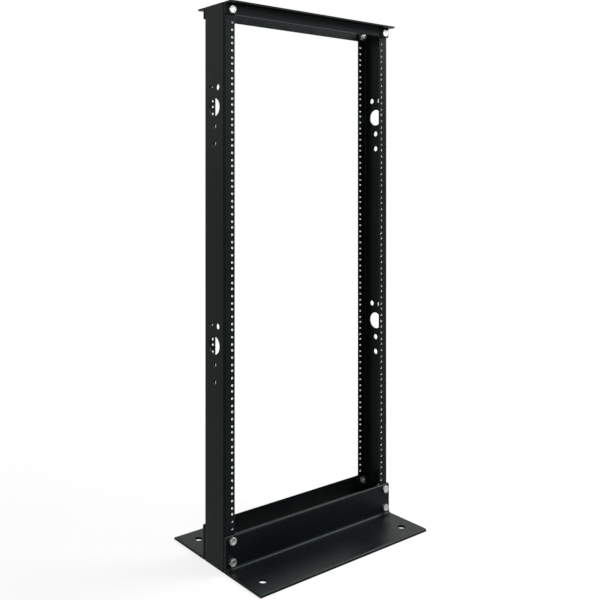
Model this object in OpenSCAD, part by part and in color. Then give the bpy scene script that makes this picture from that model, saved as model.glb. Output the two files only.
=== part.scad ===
// Two-post open frame equipment rack.
// Two steel channel uprights with their flanges turned inwards, two wide base
// angles and two narrow top angles, bolted together with hex bolts and nuts.
// X runs across the rack, Y from front (-) to rear (+), Z up from the floor.

/* [Rack] */
// Width over the outer faces of the uprights
rack_width = 508; // [504:1:530]
// Height from the floor to the top of the uprights
rack_height = 1232; // [1220:1:1300]
// Rack units of equipment space
rack_units = 25; // [10:1:25]
// Height of one rack unit
unit_pitch = 44.45; // [44:0.01:45]
// Distance across the rack between the two columns of equipment holes
column_spacing = 465.1; // [464:0.1:466]
// Height of the bottom of the first rack unit above the base angles
first_unit_rise = 5; // [3:0.1:12]

/* [Uprights] */
// Depth of each channel over its front and rear flanges
channel_depth = 76.2; // [60:0.1:152.4]
// Clear width between the flanges of the two uprights
opening_width = 450.8; // [450:0.1:452]
// Steel thickness of the channels
channel_wall = 3; // [2:0.1:4]
// Inside radius of the channel bends
channel_bend = 2; // [1:0.1:4]
// Rounding of the flange tips
flange_tip_r = 1; // [0.2:0.1:1]
// Diameter of the tapped equipment holes over their threads
tapped_hole_d = 5.5; // [4:0.1:6]

/* [Cable holes in the webs] */
// Diameter of the large round cable hole
cable_hole_d = 40; // [25:1:45]
// Diameter of the small holes round it
small_hole_d = 13; // [8:0.5:16]
// Sideways spacing of the pair of small holes above it
pair_spacing = 25.4; // [20:0.1:40]
// Height of the pair above the large hole
pair_rise = 43; // [36:1:60]
// Drop from the large hole to the first single hole
single_drop = 42; // [36:1:60]
// Drop from the first single hole to the second
second_drop = 38; // [20:1:60]
// Heights of the large holes above the floor
cable_hole_z = [485, 1007]; // [300:1:1100]

/* [Base angles] */
// Height of the upright leg of a base angle
base_leg_height = 79.4; // [79:0.1:86]
// Width of the flat leg of a base angle on the floor
base_foot_depth = 127; // [90:1:160]
// Thickness of both legs
base_wall = 6; // [4:0.1:6.4]
// Radius of the root between the legs
base_root_r = 6.7; // [4:0.1:7]
// Radius of the rounded toes
base_toe_r = 5; // [1:0.1:6]
// Diameter of the floor anchor holes
anchor_hole_d = 19; // [12:0.5:24]
// Distance of the anchor holes from the side ends
anchor_end_inset = 40; // [24:1:80]
// Distance of the anchor holes from the outer toe
anchor_toe_inset = 44; // [24:1:70]

/* [Top angles] */
// Height of the upright leg of a top angle
top_leg_height = 25.4; // [24:0.1:30]
// Width of the flat leg of a top angle
top_flange_depth = 25.4; // [20:0.1:40]
// Thickness of both legs
top_wall = 4; // [3:0.1:4.2]
// Radius of the root between the legs
top_root_r = 2; // [1:0.1:2.2]
// Radius of the rounded toes
top_toe_r = 1; // [1:0.1:2.8]

/* [Bolts] */
// Thread diameter
bolt_d = 10; // [8:0.5:10]
// Length under the head
bolt_length = 20; // [18:1:30]
// Width of the heads and nuts across their flats
hex_across = 16; // [13:0.5:16]
// Height of a bolt head
head_height = 6.4; // [5:0.1:8]
// Height of a nut
nut_height = 8.4; // [6:0.1:9]
// Height of the round bearing face under a head or nut
bearing_height = 0.6; // [0.3:0.1:1]
// Clearance of a bolt in its hole, across the diameter
hole_clearance = 1; // [0.5:0.1:1.2]
// Clearance of a bolt in its nut, across the diameter
thread_clearance = 0.1; // [0.05:0.05:0.2]
// Clearance between the points of a nut and the bend of its channel
nut_bend_gap = 2; // [0.1:0.1:3]
// Height of the lower base bolts above the floor
base_bolt_low_z = 22; // [20:0.5:24]
// Spacing of the two base bolts of a corner
base_bolt_spacing = 46.4; // [36:0.1:48]
// Height of the top bolts above the lower edge of the top angles
top_bolt_rise = 9.5; // [9:0.1:11]

/* [Hidden] */
$fn = 32;
half_width = rack_width / 2;
half_depth = channel_depth / 2;
flange_width = (rack_width - opening_width) / 2;
column_x = column_spacing / 2;
first_unit_z = base_leg_height + first_unit_rise;
unit_hole_rises = unit_pitch * [1 / 7, 1 / 2, 6 / 7];
base_bolt_zs = [base_bolt_low_z, base_bolt_low_z + base_bolt_spacing];
top_bolt_z = rack_height - top_leg_height + top_bolt_rise;
bolt_hole_d = bolt_d + hole_clearance;
hex_point_d = hex_across / cos(30);
bearing_ratio = 0.95;
bearing_d = hex_across * bearing_ratio;
bend_outer_r = channel_bend + channel_wall;
bolt_x = half_width - bend_outer_r - nut_bend_gap - hex_point_d / 2;
tip_r = min(flange_tip_r, channel_wall * 0.45);
base_tip_r = min(base_toe_r, base_wall * 0.9);
hex_chamfer = (hex_point_d - hex_across) / 2 * tan(30);
steel_black = [0.11, 0.11, 0.12];
zinc = [0.78, 0.79, 0.78];
cut = 1;

// Front and rear, left and right, with the direction that each stands for.
faces = [["front", -1], ["rear", 1]];
sides = [["left", -1], ["right", 1]];
// Bolt levels at each corner: where, name ending, height and angle thickness.
levels = [
    ["base", "_low", base_bolt_zs[0], base_wall],
    ["base", "_high", base_bolt_zs[1], base_wall],
    ["top", "", top_bolt_z, top_wall]
];
// Every bolted point: name, side, face, height and angle thickness.
points = [
    for (level = levels, face = faces, side = sides)
        [
            str(level[0], "_", face[0], "_", side[0], level[1]),
            side[1], face[1], level[2], level[3]
        ]
];
bolt_hole_zs = [for (level = levels) level[2]];
// Turn of each tightened head and nut, so that no two lie alike.
bolt_turn = 23;
nut_turn = 37;

// Round bar along Y, centred on the origin, for the holes in flanges and legs.
module bar_y(diameter, length) {
    rotate([90, 0, 0]) cylinder(d = diameter, h = length, center = true);
}

// What a quarter round leaves of the +X +Y corner of a block that ends at the
// origin.
module corner_waste(radius) {
    translate([-radius, -radius])
        difference() {
            square(radius + cut);
            circle(r = radius);
        }
}

// Flat outline of a rectangle whose +X +Y corner is rounded.
module corner_block(size_x, size_y, radius) {
    difference() {
        square([size_x, size_y]);
        translate([size_x, size_y]) corner_waste(radius);
    }
}

// Rear half of the channel's outline seen from above: the web towards +X, the
// flange tip on the line X = 0 with both of its edges rounded.
module half_channel_outline() {
    difference() {
        corner_block(flange_width, half_depth, bend_outer_r);
        translate([-cut, -cut])
            corner_block(
                flange_width - channel_wall + cut,
                half_depth - channel_wall + cut,
                channel_bend
            );
        translate([0, half_depth]) mirror([1, 0]) corner_waste(tip_r);
        translate([0, half_depth - channel_wall]) rotate(180) corner_waste(tip_r);
    }
}

// Outline of the whole channel, open towards -X.
module channel_outline() {
    for (side = [0, 1]) mirror([0, side]) half_channel_outline();
}

// Tapped equipment holes, three in each rack unit, through both flanges.
module equipment_holes() {
    for (unit = [0 : rack_units - 1], rise = unit_hole_rises)
        translate([column_x, 0, first_unit_z + unit * unit_pitch + rise])
            bar_y(tapped_hole_d, channel_depth + cut);
}

// Clearance holes for the frame bolts, through both flanges.
module flange_bolt_holes() {
    for (height = bolt_hole_zs)
        translate([bolt_x, 0, height]) bar_y(bolt_hole_d, channel_depth + cut);
}

// One round hole through the web.
module web_hole(diameter) {
    translate([half_width - channel_wall - cut, 0, 0])
        rotate([0, 90, 0]) cylinder(d = diameter, h = channel_wall + 2 * cut);
}

// Group of cable holes: a pair, the large hole and two single holes.
module cable_hole_group() {
    web_hole(cable_hole_d);
    for (side = [-1, 1])
        translate([0, side * pair_spacing / 2, pair_rise]) web_hole(small_hole_d);
    translate([0, 0, -single_drop]) web_hole(small_hole_d);
    translate([0, 0, -single_drop - second_drop]) web_hole(small_hole_d);
}

// Upright on the +X side of the rack.
module upright() {
    color(steel_black)
        difference() {
            translate([opening_width / 2, 0, 0])
                linear_extrude(rack_height) channel_outline();
            equipment_holes();
            flange_bolt_holes();
            for (height = cable_hole_z)
                translate([0, 0, height]) cable_hole_group();
        }
}

// Outline of a rolled angle: flat leg along +X on the line Y = 0, upright leg
// along +Y on the line X = 0, rounded root and rounded inner toes.
module angle_outline(flat, tall, wall, root_r, toe_r) {
    difference() {
        union() {
            corner_block(flat, wall, toe_r);
            corner_block(wall, tall, toe_r);
            square([wall + root_r, wall + root_r]);
        }
        translate([wall + root_r, wall + root_r]) circle(r = root_r);
    }
}

// Rolled angle across the whole rack on the +Y side, flat leg at the bottom.
module angle_bar(flat, tall, wall, root_r, toe_r) {
    translate([-half_width, half_depth, 0])
        rotate([90, 0, 90])
            linear_extrude(rack_width)
                angle_outline(flat, tall, wall, root_r, toe_r);
}

// Base angle on the rear side.
module base_angle() {
    color(steel_black)
        difference() {
            angle_bar(
                base_foot_depth, base_leg_height, base_wall,
                base_root_r, base_tip_r
            );
            for (side = [-1, 1]) {
                for (height = base_bolt_zs)
                    translate([side * bolt_x, half_depth + base_wall / 2, height])
                        bar_y(bolt_hole_d, base_wall + 2 * cut);
                translate([
                    side * (half_width - anchor_end_inset),
                    half_depth + base_foot_depth - anchor_toe_inset,
                    -cut
                ])
                    cylinder(d = anchor_hole_d, h = base_wall + 2 * cut);
            }
        }
}

// Top angle on the rear side, flat leg at the top.
module top_angle() {
    color(steel_black)
        difference() {
            translate([0, 0, rack_height])
                mirror([0, 0, 1])
                    angle_bar(
                        top_flange_depth, top_leg_height, top_wall,
                        top_root_r, top_toe_r
                    );
            for (side = [-1, 1])
                translate([side * bolt_x, half_depth + top_wall / 2, top_bolt_z])
                    bar_y(bolt_hole_d, top_wall + 2 * cut);
        }
}

// Hexagonal prism with its points bevelled at the far end.
module bevelled_hex(height) {
    intersection() {
        cylinder(d = hex_point_d, h = height, $fn = 6);
        union() {
            cylinder(d = hex_point_d + cut, h = height - hex_chamfer);
            translate([0, 0, height - hex_chamfer])
                cylinder(d1 = hex_point_d, d2 = hex_across, h = hex_chamfer);
        }
    }
}

// Hex bolt with its head along +Z and its seat at Z = 0.
module hex_bolt() {
    color(zinc) {
        translate([0, 0, bearing_height]) bevelled_hex(head_height - bearing_height);
        cylinder(d = bearing_d, h = bearing_height);
        translate([0, 0, -bolt_length]) cylinder(d = bolt_d, h = bolt_length);
    }
}

// Hex nut with its seat at Z = 0 and its body along +Z.
module hex_nut() {
    color(zinc)
        difference() {
            union() {
                translate([0, 0, bearing_height])
                    bevelled_hex(nut_height - bearing_height);
                cylinder(d = bearing_d, h = bearing_height);
            }
            translate([0, 0, -cut])
                cylinder(d = bolt_d + thread_clearance, h = nut_height + 2 * cut);
        }
}

// Bolt at one of the points, its head seated on the outside of the angle.
module placed_bolt(point, turn) {
    side = point[1];
    face = point[2];
    translate([side * bolt_x, face * (half_depth + point[4]), point[3]])
        rotate([-90 * face, 0, 0]) rotate(turn) hex_bolt();
}

// Nut on that bolt, seated on the inner face of the flange.
module placed_nut(point, turn) {
    side = point[1];
    face = point[2];
    translate([side * bolt_x, face * (half_depth - channel_wall), point[3]])
        rotate([90 * face, 0, 0]) rotate(turn) hex_nut();
}

module left_upright() { mirror([1, 0, 0]) upright(); }
module right_upright() { upright(); }
module front_base_angle() { mirror([0, 1, 0]) base_angle(); }
module rear_base_angle() { base_angle(); }
module front_top_angle() { mirror([0, 1, 0]) top_angle(); }
module rear_top_angle() { top_angle(); }

left_upright();
right_upright();
front_base_angle();
rear_base_angle();
front_top_angle();
rear_top_angle();
for (i = [0 : len(points) - 1]) {
    placed_bolt(points[i], i * bolt_turn);
    placed_nut(points[i], i * nut_turn);
}
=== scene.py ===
"""Two-post open frame rack: finishes, fasteners, tapped threads, light and camera.

Everything is in metres. X runs across the rack, Y from front (-) to rear (+), Z up.
The channels and angles are the CAD solids with a powder coat. Bolts and nuts with
more detail stand in the places of the CAD ones, and the equipment holes get their
bare threads.
"""

import math

import bmesh
import bpy
from mathutils import Matrix, Vector


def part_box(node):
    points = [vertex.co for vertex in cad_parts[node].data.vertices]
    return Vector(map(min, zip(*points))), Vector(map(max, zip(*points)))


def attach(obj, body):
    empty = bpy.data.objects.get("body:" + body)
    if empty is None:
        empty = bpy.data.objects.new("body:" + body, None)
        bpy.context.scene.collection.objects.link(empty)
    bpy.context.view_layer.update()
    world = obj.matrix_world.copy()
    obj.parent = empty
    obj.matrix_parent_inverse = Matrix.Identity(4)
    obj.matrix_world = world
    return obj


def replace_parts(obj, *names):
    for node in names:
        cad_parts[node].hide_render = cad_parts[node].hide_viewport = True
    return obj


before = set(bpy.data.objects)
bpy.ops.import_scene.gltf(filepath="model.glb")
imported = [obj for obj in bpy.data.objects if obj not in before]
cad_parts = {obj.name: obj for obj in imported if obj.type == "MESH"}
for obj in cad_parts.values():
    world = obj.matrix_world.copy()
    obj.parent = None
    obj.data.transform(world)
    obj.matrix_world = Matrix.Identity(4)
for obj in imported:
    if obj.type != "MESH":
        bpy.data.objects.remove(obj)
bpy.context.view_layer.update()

MM = 0.001

# The hexagon of the M10 bolts and nuts: chamfered above, a round bearing step below.
HEX_ACROSS = 16 * MM
HEX_SIDE = HEX_ACROSS / 2
HEX_POINTS = HEX_ACROSS / math.cos(math.radians(30))
HEX_CORNER_REACH = (HEX_POINTS - HEX_ACROSS) / 2
HEX_CHAMFER = HEX_CORNER_REACH * math.tan(math.radians(30))
HEX_TOP_RADIUS = HEX_SIDE * 0.985
BEARING_HEIGHT = 0.6 * MM
BEARING_RADIUS = HEX_ACROSS * 0.475

# Bolts: a dished head, a short neck and a full thread.
HEAD_HEIGHT = 6.4 * MM
DISH_RADIUS = 5.2 * MM
DISH_DEPTH = 0.7 * MM
DISH_LIP_WIDTH = 0.5 * MM
DISH_LIP_DROP = 0.15 * MM
DISH_STEPS = ((0.75, 0.8), (0.4, 1.0))  # shares of the dish's radius and depth
BOLT_LENGTH = 20 * MM
BOLT_NECK = 1.2 * MM
BOLT_RADIUS = 5 * MM
BOLT_ROOT_RADIUS = 4.15 * MM
BOLT_TIP_RING_RADIUS = BOLT_ROOT_RADIUS * 0.6
BOLT_PITCH = 1.5 * MM
BOLT_THREAD_GROWTH = 1.0

# Nuts: a bore with a countersunk mouth at each end.
NUT_HEIGHT = 8.4 * MM
NUT_BORE_RADIUS = 5.05 * MM
NUT_MOUTH_RADIUS = 5.6 * MM
NUT_MOUTH_DEPTH = 0.6 * MM

# How much further each fastener is turned about its axis than the one before it.
BOLT_TURN = math.radians(23)
NUT_TURN = math.radians(37)

# Equipment holes: 12-24 threads on the rack-unit pattern.
UNITS = 25
UNIT_PITCH = 44.45 * MM
UNIT_HOLE_SHARES = (1 / 7, 1 / 2, 6 / 7)
COLUMN_SPACING = 465.1 * MM
FIRST_UNIT_RISE = 5 * MM
CHANNEL_WALL = 3 * MM
TAP_RADIUS = 2.73 * MM
TAP_ROOT_RADIUS = TAP_RADIUS - 0.05 * MM
TAP_CREST_RADIUS = 2.2 * MM
TAP_PITCH = 25.4 / 24 * MM
TAP_END_GAP = 0.03 * MM
TAP_THREAD_GROWTH = 1.2

# The profile of a 60 degree thread, as shares of its pitch: crest, flank, root, flank.
CREST_SHARE = 1 / 8
FLANK_SHARE = 5 / 16
ROOT_SHARE = 1 / 4

# How finely the meshes are cut, and the angle in degrees from which an edge is sharp.
FASTENER_SEGMENTS = 48
FASTENER_CREASE = 28
TAP_SEGMENTS = 20
TAP_CREASE = 40
WELD_DISTANCE = 0.002 * MM
SLIVER_LENGTH = 0.001 * MM

# The part of its range that a noise texture mostly fills.
NOISE_LOW = 0.3
NOISE_HIGH = 0.7

# Rays that an eased edge is worked out from.
EDGE_SAMPLES = 6

# The floor glows a little less near the rack, where the lamps light it more.
FLOOR_SIZE = 40
FLOOR_DROP = 0.3 * MM
FLOOR_GREY = (0.12, 0.12, 0.12, 1)
FLOOR_ROUGHNESS = 0.9
NEAR_DISTANCE = 0.5
NEAR_GLOW = 0.815
FAR_DISTANCE = 3.5
FAR_GLOW = 0.957
WHITE = (1, 1, 1, 1)

# What the names of the pieces are made of, with the direction of each side and face.
SIDES = (("left", -1), ("right", 1))
FACES = (("front", -1), ("rear", 1))
LEVELS = ("base", "top")
BOLT_ROWS = (("base", "_low"), ("base", "_high"), ("top", ""))


# ---------------------------------------------------------------- mesh pieces

def ring(radius, height, segments):
    """Vertices of a level circle, one for each segment."""
    turns = [2 * math.pi * i / segments for i in range(segments)]
    return [(radius * math.cos(a), radius * math.sin(a), height) for a in turns]


def hex_radius(angle):
    """Distance from the axis to the hexagon's outline in this direction."""
    sixth = math.pi / 3
    return HEX_SIDE / math.cos(angle % sixth - sixth / 2)


def hex_rings(low, high, segments):
    """The hexagon's lower edge, its chamfered upper edge and the round top face."""
    turns = [2 * math.pi * i / segments for i in range(segments)]
    lower, upper = [], []
    for turn in turns:
        radius = hex_radius(turn)
        drop = HEX_CHAMFER * (radius - HEX_SIDE) / HEX_CORNER_REACH
        place = (radius * math.cos(turn), radius * math.sin(turn))
        lower.append((*place, low))
        upper.append((*place, high - drop))
    return [lower, upper, ring(HEX_TOP_RADIUS, high, segments)]


def thread_rows(crest, root, pitch, low, high, end_radius, growth, segments):
    """Rows of vertices round a screw thread from one height to another.

    A row climbs one pitch in a turn, so its last vertex meets the start of the row
    one turn later. Rows begin below the thread and end above it, and what passes
    an end is laid on it. The thread grows out of end_radius at each end, growth
    metres for each metre from the end.
    """
    profile = (
        (0, crest),
        (CREST_SHARE, crest),
        (CREST_SHARE + FLANK_SHARE, root),
        (CREST_SHARE + FLANK_SHARE + ROOT_SHARE, root),
    )
    last_turn = math.ceil((high - low) / pitch) + 1
    rows = []
    for turn in range(-1, last_turn + 1):
        for share, radius in profile:
            row = []
            for i in range(segments + 1):
                angle = 2 * math.pi * i / segments
                height = low + pitch * (turn + share + i / segments - 1)
                height = min(max(height, low), high)
                room = min(height - low, high - height) * growth
                if crest > end_radius:
                    allowed = min(radius, end_radius + room)
                else:
                    allowed = max(radius, end_radius - room)
                row.append((allowed * math.cos(angle), allowed * math.sin(angle), height))
            rows.append(row)
    return rows


def join_rows(mesh, rows, closed):
    """Faces between rows of vertices. A closed row joins its end to its start."""
    made = [[mesh.verts.new(place) for place in row] for row in rows]
    for lower, upper in zip(made, made[1:]):
        count = len(lower)
        for i in range(count if closed else count - 1):
            j = (i + 1) % count
            mesh.faces.new((lower[i], lower[j], upper[j], upper[i]))
    return made


def cap(mesh, loop, height):
    """Fan of triangles that closes a ring of vertices at its centre."""
    middle = mesh.verts.new((0, 0, height))
    for i, vertex in enumerate(loop):
        mesh.faces.new((vertex, loop[(i + 1) % len(loop)], middle))


def weld(mesh):
    """Joins vertices that coincide, drops slivers and turns every face outwards."""
    bmesh.ops.remove_doubles(mesh, verts=mesh.verts, dist=WELD_DISTANCE)
    bmesh.ops.dissolve_degenerate(mesh, edges=mesh.edges, dist=SLIVER_LENGTH)
    bmesh.ops.recalc_face_normals(mesh, faces=mesh.faces)


def bolt_mesh():
    """Hex bolt with its head along +Z and the seat of the head at Z = 0."""
    segments = FASTENER_SEGMENTS
    mesh = bmesh.new()
    lower, upper, top = hex_rings(BEARING_HEIGHT, HEAD_HEIGHT, segments)
    dish = [
        ring(DISH_RADIUS * reach, HEAD_HEIGHT - DISH_DEPTH * fall, segments)
        for reach, fall in DISH_STEPS
    ]
    head = join_rows(mesh, [
        ring(BOLT_ROOT_RADIUS, 0, segments),
        ring(BEARING_RADIUS, 0, segments),
        ring(BEARING_RADIUS, BEARING_HEIGHT, segments),
        lower,
        upper,
        top,
        ring(DISH_RADIUS + DISH_LIP_WIDTH, HEAD_HEIGHT, segments),
        ring(DISH_RADIUS, HEAD_HEIGHT - DISH_LIP_DROP, segments),
        *dish,
    ], closed=True)
    cap(mesh, head[-1], HEAD_HEIGHT - DISH_DEPTH)
    join_rows(mesh, [
        ring(BOLT_ROOT_RADIUS, 0, segments),
        ring(BOLT_ROOT_RADIUS, -BOLT_NECK, segments),
    ], closed=True)
    join_rows(mesh, thread_rows(
        BOLT_RADIUS, BOLT_ROOT_RADIUS, BOLT_PITCH,
        -BOLT_LENGTH, -BOLT_NECK, BOLT_ROOT_RADIUS, BOLT_THREAD_GROWTH, segments
    ), closed=False)
    tip = join_rows(mesh, [
        ring(BOLT_ROOT_RADIUS, -BOLT_LENGTH, segments),
        ring(BOLT_TIP_RING_RADIUS, -BOLT_LENGTH, segments),
    ], closed=True)
    cap(mesh, tip[-1], -BOLT_LENGTH)
    weld(mesh)
    return mesh


def nut_mesh():
    """Hex nut with its seat at Z = 0 and its body along +Z."""
    segments = FASTENER_SEGMENTS
    mesh = bmesh.new()
    lower, upper, top = hex_rings(BEARING_HEIGHT, NUT_HEIGHT, segments)
    join_rows(mesh, [
        ring(NUT_BORE_RADIUS, NUT_MOUTH_DEPTH, segments),
        ring(NUT_MOUTH_RADIUS, 0, segments),
        ring(BEARING_RADIUS, 0, segments),
        ring(BEARING_RADIUS, BEARING_HEIGHT, segments),
        lower,
        upper,
        top,
        ring(NUT_MOUTH_RADIUS, NUT_HEIGHT, segments),
        ring(NUT_BORE_RADIUS, NUT_HEIGHT - NUT_MOUTH_DEPTH, segments),
        ring(NUT_BORE_RADIUS, NUT_MOUTH_DEPTH, segments),
    ], closed=True)
    weld(mesh)
    return mesh


def tapped_thread_mesh():
    """The bare thread of one equipment hole, its axis along Z, as a closed sleeve."""
    segments = TAP_SEGMENTS
    reach = CHANNEL_WALL / 2 - TAP_END_GAP
    mesh = bmesh.new()
    join_rows(mesh, thread_rows(
        TAP_CREST_RADIUS, TAP_ROOT_RADIUS, TAP_PITCH,
        -reach, reach, TAP_RADIUS, TAP_THREAD_GROWTH, segments
    ), closed=False)
    join_rows(mesh, [
        ring(TAP_RADIUS, -reach, segments),
        ring(TAP_RADIUS, reach, segments),
    ], closed=True)
    weld(mesh)
    return mesh


def new_piece(name, mesh, material, crease):
    """Object from a bmesh, on the rack's one body."""
    data = bpy.data.meshes.new(name)
    mesh.to_mesh(data)
    mesh.free()
    data.polygons.foreach_set("use_smooth", [True] * len(data.polygons))
    data.set_sharp_from_angle(angle=math.radians(crease))
    data.materials.append(material)
    piece = bpy.data.objects.new(name, data)
    bpy.context.scene.collection.objects.link(piece)
    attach(piece, "root")
    return piece


# ------------------------------------------------------------------ materials

class Nodes:
    """The nodes of a material or world, with short calls for those used here."""

    def __init__(self, owner):
        owner.use_nodes = True
        self.tree = owner.node_tree

    def add(self, kind, **inputs):
        """New shader node with these inputs."""
        node = self.tree.nodes.new("ShaderNode" + kind)
        self.feed(node, **inputs)
        return node

    def feed(self, node, **inputs):
        """Gives each named input a constant, or a link from another node's output."""
        for name, value in inputs.items():
            socket = node.inputs[name.replace("_", " ")]
            if isinstance(value, bpy.types.NodeSocket):
                self.tree.links.new(value, socket)
            else:
                socket.default_value = value

    def calculate(self, operation, first, second):
        """Result of a Math node on two outputs."""
        node = self.add("Math")
        node.operation = operation
        self.tree.links.new(first, node.inputs[0])
        self.tree.links.new(second, node.inputs[1])
        return node.outputs["Value"]

    def noise(self, scale, detail, stretch=(1, 1, 1)):
        """Noise over the piece, scale in cells a metre."""
        place = self.add("TexCoord").outputs["Object"]
        mapping = self.add("Mapping", Vector=place, Scale=stretch)
        vector = mapping.outputs["Vector"]
        return self.add("TexNoise", Vector=vector, Scale=scale, Detail=detail).outputs["Fac"]

    def colours(self, factor, low, high):
        """Colour that goes from low to high over a noise's range."""
        ramp = self.add("ValToRGB", Fac=factor)
        start, end = ramp.color_ramp.elements
        start.position = NOISE_LOW
        start.color = (*low, 1)
        end.position = NOISE_HIGH
        end.color = (*high, 1)
        return ramp.outputs["Color"]

    def spread(self, factor, low, high):
        """Number that goes from low to high over a noise's range."""
        node = self.add(
            "MapRange", Value=factor,
            From_Min=NOISE_LOW, From_Max=NOISE_HIGH, To_Min=low, To_Max=high
        )
        return node.outputs["Result"]

    def soft_edges(self, radius):
        """Surface normal with edges eased over this radius."""
        node = self.add("Bevel", Radius=radius)
        node.samples = EDGE_SAMPLES
        return node.outputs["Normal"]

    def bump(self, height, depth, normal):
        """Surface normal of a relief that is depth metres deep, on top of another."""
        node = self.add("Bump", Strength=1.0, Distance=depth, Height=height, Normal=normal)
        return node.outputs["Normal"]

    def seen_rays(self):
        """1 for rays that show the background: from the camera, in gloss, through glass."""
        path = self.add("LightPath")
        seen = path.outputs["Is Camera Ray"]
        for name in ("Is Glossy Ray", "Is Transmission Ray"):
            seen = self.calculate("MAXIMUM", seen, path.outputs[name])
        return seen


def powder_coat():
    """Satin black powder coat: orange peel, and a little variation in sheen."""
    material = bpy.data.materials.new("black_powder_coat")
    nodes = Nodes(material)
    mottle = nodes.noise(scale=9, detail=4)
    sheen = nodes.noise(scale=60, detail=3)
    coarse_peel = nodes.noise(scale=260, detail=2)
    fine_peel = nodes.noise(scale=1100, detail=2)
    normal = nodes.soft_edges(radius=0.45 * MM)
    normal = nodes.bump(coarse_peel, depth=0.15 * MM, normal=normal)
    normal = nodes.bump(fine_peel, depth=0.06 * MM, normal=normal)
    nodes.feed(
        nodes.tree.nodes["Principled BSDF"],
        Base_Color=nodes.colours(
            mottle, low=(0.0022, 0.0030, 0.0030), high=(0.0036, 0.0049, 0.0050)
        ),
        Metallic=0.0,
        IOR=1.16,
        Specular_Tint=(0.8, 1.0, 1.0, 1.0),
        Roughness=nodes.spread(sheen, low=0.31, high=0.40),
        Normal=normal,
    )
    return material


def bright_metal(name, dark, light, smooth, rough):
    """Plated or bare metal: clouded colour, uneven polish and fine tool marks.

    smooth and rough are the lowest and highest roughness.
    """
    material = bpy.data.materials.new(name)
    nodes = Nodes(material)
    cloud = nodes.noise(scale=320, detail=4)
    polish = nodes.noise(scale=700, detail=2)
    marks = nodes.noise(scale=900, detail=3, stretch=(1, 6, 1))
    nodes.feed(
        nodes.tree.nodes["Principled BSDF"],
        Base_Color=nodes.colours(cloud, low=dark, high=light),
        Metallic=1.0,
        Roughness=nodes.spread(polish, low=smooth, high=rough),
        Normal=nodes.bump(marks, depth=0.012 * MM, normal=nodes.soft_edges(radius=0.3 * MM)),
    )
    return material


def floor_material():
    """Pale floor that shows as white and still takes the object's shadow."""
    material = bpy.data.materials.new("pale_floor")
    nodes = Nodes(material)
    surface = nodes.tree.nodes["Principled BSDF"]
    nodes.feed(
        surface, Base_Color=FLOOR_GREY, Roughness=FLOOR_ROUGHNESS, Specular_IOR_Level=0.0
    )
    distance = nodes.add("VectorMath")
    distance.operation = "LENGTH"
    nodes.feed(distance, Vector=nodes.add("TexCoord").outputs["Object"])
    glow = nodes.add(
        "MapRange", Value=distance.outputs["Value"],
        From_Min=NEAR_DISTANCE, From_Max=FAR_DISTANCE, To_Min=NEAR_GLOW, To_Max=FAR_GLOW
    )
    glow.interpolation_type = "SMOOTHSTEP"
    strength = nodes.calculate("MULTIPLY", nodes.seen_rays(), glow.outputs["Result"])
    emission = nodes.add("Emission", Color=WHITE, Strength=strength)
    both = nodes.add("AddShader")
    nodes.tree.links.new(surface.outputs["BSDF"], both.inputs[0])
    nodes.tree.links.new(emission.outputs["Emission"], both.inputs[1])
    nodes.feed(nodes.tree.nodes["Material Output"], Surface=both.outputs["Shader"])
    return material


# ------------------------------------------------------------------- the rack

def finish_steel(material):
    """The channels and angles keep their solids and take the powder coat."""
    names = [f"{side}_upright" for side, _ in SIDES]
    names += [f"{face}_{level}_angle" for level in LEVELS for face, _ in FACES]
    for name in names:
        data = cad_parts[name].data
        data.materials.clear()
        data.materials.append(material)


def set_fastener(mesh, seat, facing, turn):
    """Turns a fastener about its axis, points it along -Y or +Y and seats it."""
    lean = Matrix.Rotation(-facing * math.pi / 2, 4, "X")
    mesh.transform(Matrix.Translation(Vector(seat)) @ lean @ Matrix.Rotation(turn, 4, "Z"))


def add_fasteners(material):
    """A detailed bolt and nut in the place of each plain one."""
    points = [
        (f"{level}_{face}_{side}{end}", outward)
        for level, end in BOLT_ROWS for face, outward in FACES for side, _ in SIDES
    ]
    for index, (point, outward) in enumerate(points):
        bolt_low, bolt_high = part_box("bolt_" + point)
        nut_low, nut_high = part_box("nut_" + point)
        x = (nut_low[0] + nut_high[0]) / 2
        z = (nut_low[2] + nut_high[2]) / 2
        bolt_top = bolt_low[1] if outward < 0 else bolt_high[1]
        nut_seat = nut_low[1] if outward < 0 else nut_high[1]
        bolt = bolt_mesh()
        set_fastener(bolt, (x, bolt_top - outward * HEAD_HEIGHT, z), outward, index * BOLT_TURN)
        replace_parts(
            new_piece("threaded_bolt_" + point, bolt, material, FASTENER_CREASE),
            "bolt_" + point
        )
        nut = nut_mesh()
        set_fastener(nut, (x, nut_seat, z), -outward, index * NUT_TURN)
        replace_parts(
            new_piece("detailed_nut_" + point, nut, material, FASTENER_CREASE),
            "nut_" + point
        )


def add_tapped_threads(material):
    """Bare threads in the equipment holes, one piece for each flange."""
    _, base_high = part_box("front_base_angle")
    first_unit = base_high[2] + FIRST_UNIT_RISE
    heights = [
        first_unit + (unit + share) * UNIT_PITCH
        for unit in range(UNITS) for share in UNIT_HOLE_SHARES
    ]
    for side, across in SIDES:
        for face, outward in FACES:
            _, upright_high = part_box(f"{side}_upright")
            y = outward * (upright_high[1] - CHANNEL_WALL / 2)
            whole = bmesh.new()
            part = bpy.data.meshes.new("one_thread")
            for height in heights:
                one = tapped_thread_mesh()
                spot = Vector((across * COLUMN_SPACING / 2, y, height))
                one.transform(Matrix.Translation(spot) @ Matrix.Rotation(math.pi / 2, 4, "X"))
                one.to_mesh(part)
                one.free()
                whole.from_mesh(part)
            bpy.data.meshes.remove(part)
            new_piece(f"{side}_{face}_tapped_threads", whole, material, TAP_CREASE)


# ------------------------------------------------------- stage, light, camera

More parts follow.
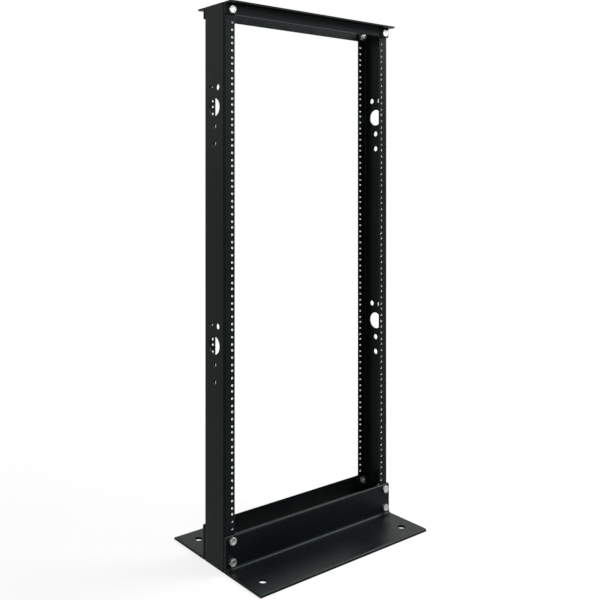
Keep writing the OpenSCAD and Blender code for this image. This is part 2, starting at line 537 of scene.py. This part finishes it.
def add_floor():
    """Square floor, a hair below the rack's feet."""
    bpy.ops.mesh.primitive_plane_add(size=FLOOR_SIZE, location=(0, 0, -FLOOR_DROP))
    floor = bpy.context.object
    floor.name = "floor"
    floor.data.materials.append(floor_material())


def add_world(level):
    """White surroundings for what is seen, a plain level for what is lit."""
    world = bpy.data.worlds.new("studio")
    bpy.context.scene.world = world
    nodes = Nodes(world)
    strength = nodes.add("MapRange", Value=nodes.seen_rays(), To_Min=level, To_Max=1.0)
    nodes.feed(
        nodes.tree.nodes["Background"],
        Color=WHITE, Strength=strength.outputs["Result"]
    )


def add_softbox(name, place, aim_height, size, power):
    """Square area light that faces a point on the rack's middle line."""
    light = bpy.data.lights.new(name, "AREA")
    light.shape = "SQUARE"
    light.size = size
    light.energy = power
    lamp = bpy.data.objects.new(name, light)
    lamp.location = place
    aim = Vector((0, 0, aim_height)) - Vector(place)
    lamp.rotation_euler = aim.to_track_quat("-Z", "Y").to_euler()
    bpy.context.scene.collection.objects.link(lamp)


def add_camera(distance, eye_height, stand_angle, look_angle):
    """Level camera to the left of the front, its view dropped and moved by shift.

    stand_angle and look_angle are in degrees from the front: where the camera
    stands and where it looks.
    """
    camera = bpy.data.cameras.new("camera")
    camera.sensor_width = 36
    camera.lens = 47.44
    camera.shift_x = 0.0937
    camera.shift_y = -0.2045
    stand = math.radians(stand_angle)
    holder = bpy.data.objects.new("camera", camera)
    holder.location = (-distance * math.sin(stand), -distance * math.cos(stand), eye_height)
    holder.rotation_euler = (math.pi / 2, 0, -math.radians(look_angle))
    bpy.context.scene.collection.objects.link(holder)
    bpy.context.scene.camera = holder


zinc = bright_metal(
    "zinc_plate",
    dark=(0.34, 0.35, 0.36), light=(0.49, 0.49, 0.49), smooth=0.38, rough=0.50
)
bare_steel = bright_metal(
    "bare_thread_steel",
    dark=(0.33, 0.33, 0.32), light=(0.45, 0.45, 0.43), smooth=0.34, rough=0.46
)
finish_steel(powder_coat())
add_fasteners(zinc)
add_tapped_threads(bare_steel)

add_floor()
add_world(level=0.45)
add_softbox("key", place=(2.7, -1.04, 2.95), aim_height=0.1, size=2.2, power=250)
add_softbox("front", place=(0.8, -2.85, 1.6), aim_height=0.5, size=1.8, power=28)
add_softbox("fill", place=(-1.7, -2.1, 1.5), aim_height=0.5, size=1.4, power=22)
add_softbox("back_left", place=(-1.9, 2.2, 1.7), aim_height=0.8, size=1.6, power=5)
add_softbox("back_right", place=(1.4, 1.6, 1.7), aim_height=0.2, size=1.4, power=7.5)
add_softbox("right", place=(2.2, 1.0, 2.2), aim_height=0.2, size=1.4, power=8)
add_camera(distance=1.8906, eye_height=0.8534, stand_angle=41.12, look_angle=36.93)
bpy.context.scene.view_settings.view_transform = "Standard"
